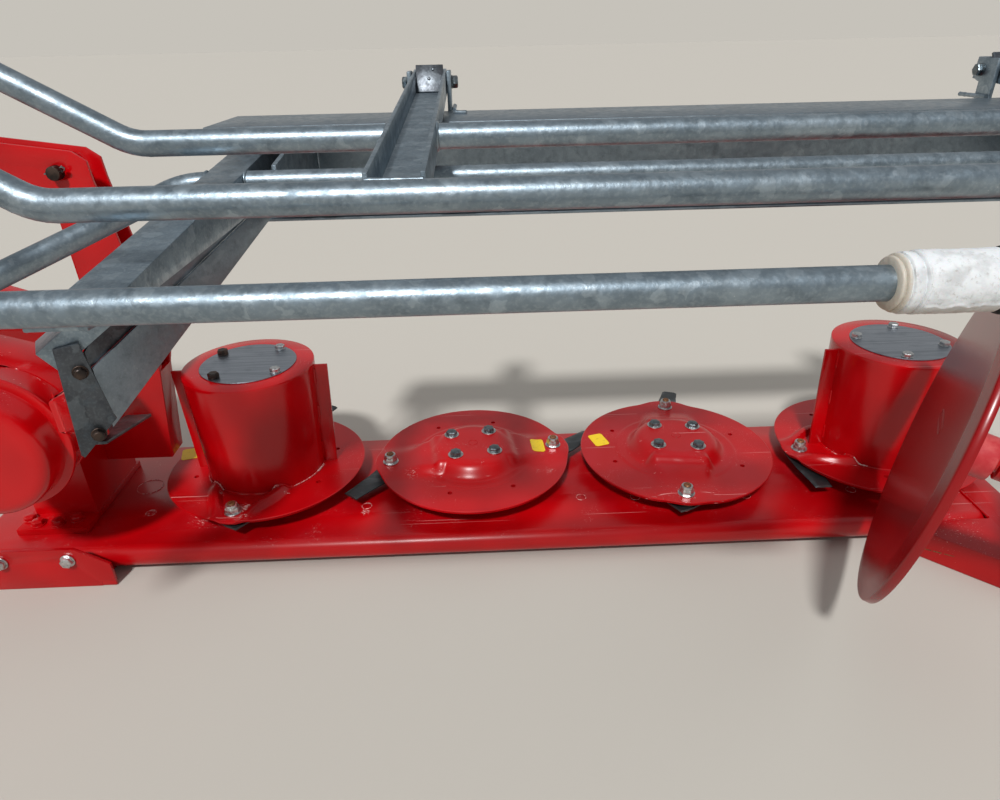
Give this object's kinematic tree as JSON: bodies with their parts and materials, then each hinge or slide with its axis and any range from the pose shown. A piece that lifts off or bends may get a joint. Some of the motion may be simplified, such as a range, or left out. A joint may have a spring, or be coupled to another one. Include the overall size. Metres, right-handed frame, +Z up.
{
  "type": "disc mower",
  "caption": "Tractor-mounted disc mower with a folding cutter bar, spinning knife discs, feed drums, a swath disc and a tubular galvanised guard that folds over.",
  "frame": {"origin": "middle of the machine's box in plan, on the ground it is parked on", "axes": "+X outboard along the cutter bar, away from the hitch; +Y forwards, towards the tractor; +Z up"},
  "size_m": [2.9456, 1.025, 0.936],
  "materials": {
    "red_enamel": "glossy red enamel, scuffed where crop and hands rub it",
    "galvanised_steel": "hot-dip galvanised, faint spangle, satin",
    "zinc_plate": "bright zinc plate, satin",
    "knife_steel": "dark hardened spring steel, satin",
    "chromed_rod": "hard chrome, polished",
    "bright_steel": "machined steel, lightly oiled",
    "white_wrap": "crumpled white wrapping, dusty",
    "black_rubber": "black rubber, matt"
  },
  "bodies": {
    "hitch": {"hitch_frame": "red_enamel", "lower_hitch_pins": "zinc_plate", "main_beam": "red_enamel", "hinge_boss": "red_enamel", "belt_guard": "red_enamel", "pulley_cover": "red_enamel", "input_housing": "red_enamel", "cylinder_lugs": "red_enamel", "leg_socket": "red_enamel"},
    "parking_leg": {"parking_leg": "red_enamel"},
    "input_shaft": {"input_shaft": "bright_steel"},
    "lift_barrel": {"cylinder_barrel": "red_enamel"},
    "lift_rod": {"cylinder_rod": "chromed_rod"},
    "cutter_bar": {"bar_housing": "red_enamel", "inner_shoe": "red_enamel", "outer_shoe": "red_enamel", "skid_shoes": "knife_steel", "gear_tower": "red_enamel", "lift_lever": "red_enamel", "lever_pin": "zinc_plate", "arm_carrier": "red_enamel", "arm_bracket": "galvanised_steel", "support_arm": "galvanised_steel", "arm_plate": "galvanised_steel", "rear_pipe_lower": "galvanised_steel", "rear_pipe_upper": "galvanised_steel", "pipe_sleeve": "white_wrap", "sleeve_cap": "black_rubber", "guard_beam": "galvanised_steel", "beam_posts": "galvanised_steel", "fold_lugs": "galvanised_steel", "swath_arm": "red_enamel"},
    "front_guard": {"fold_arms": "galvanised_steel", "fold_pipe_a": "galvanised_steel", "fold_pipe_b": "galvanised_steel"},
    "disc_1": {"disc_1": "red_enamel", "cover_1": "zinc_plate", "knives_1": "knife_steel"},
    "disc_2": {"disc_2": "red_enamel", "knives_2": "knife_steel"},
    "disc_3": {"disc_3": "red_enamel", "knives_3": "knife_steel"},
    "disc_4": {"disc_4": "red_enamel", "cover_4": "zinc_plate", "knives_4": "knife_steel"},
    "swath": {"swath_disc": "red_enamel"}
  },
  "joints": [
    {"name": "bar_lift", "type": "hinge", "parent": "hitch", "child": "cutter_bar", "pos_m": [-0.21975, 0.2185, 0.3], "axis": [0, -1, 0], "range_deg": [-15, 90]},
    {"name": "lift_swing", "type": "hinge", "parent": "hitch", "child": "lift_barrel", "pos_m": [-1.16475, 0.2185, 0.9], "axis": [0, 1, 0], "range_deg": [-5, 28]},
    {"name": "lift_extend", "type": "slide", "parent": "lift_barrel", "child": "lift_rod", "axis": [0.9716, 0, -0.2368], "range_m": [-0.274, 0.047]},
    {"name": "guard_fold", "type": "hinge", "parent": "cutter_bar", "child": "front_guard", "pos_m": [0.44725, 0.1785, 0.7635], "axis": [-1, 0, 0], "range_deg": [0, 187]},
    {"name": "leg_slide", "type": "slide", "parent": "hitch", "child": "parking_leg", "axis": [0, 0, 1], "range_m": [0, 0.25]},
    {"name": "input_spin", "type": "hinge", "parent": "hitch", "child": "input_shaft", "pos_m": [-0.86475, 0.4185, 0.505], "axis": [0, 1, 0], "continuous": true},
    {"name": "swath_spin", "type": "hinge", "parent": "cutter_bar", "child": "swath", "pos_m": [1.11225, -0.1495, 0.3285], "axis": [0.8205, -0.5472, -0.165], "continuous": true},
    {"name": "disc_1_spin", "type": "hinge", "parent": "cutter_bar", "child": "disc_1", "pos_m": [0.08525, 0.2185, 0.092], "axis": [0, 0, 1], "continuous": true},
    {"name": "disc_2_spin", "type": "hinge", "parent": "cutter_bar", "child": "disc_2", "pos_m": [0.48525, 0.2185, 0.092], "axis": [0, 0, 1], "continuous": true},
    {"name": "disc_3_spin", "type": "hinge", "parent": "cutter_bar", "child": "disc_3", "pos_m": [0.88525, 0.2185, 0.092], "axis": [0, 0, 1], "continuous": true},
    {"name": "disc_4_spin", "type": "hinge", "parent": "cutter_bar", "child": "disc_4", "pos_m": [1.28525, 0.2185, 0.092], "axis": [0, 0, 1], "continuous": true}
  ],
  "couplings": [
    {"joint": "lift_swing", "follows": "bar_lift", "ratio": 0.3015},
    {"joint": "lift_extend", "follows": "bar_lift", "m_per_rad": -0.17345},
    {"joint": "disc_2_spin", "follows": "disc_1_spin", "ratio": -1},
    {"joint": "disc_3_spin", "follows": "disc_1_spin", "ratio": 1},
    {"joint": "disc_4_spin", "follows": "disc_1_spin", "ratio": -1}
  ]
}
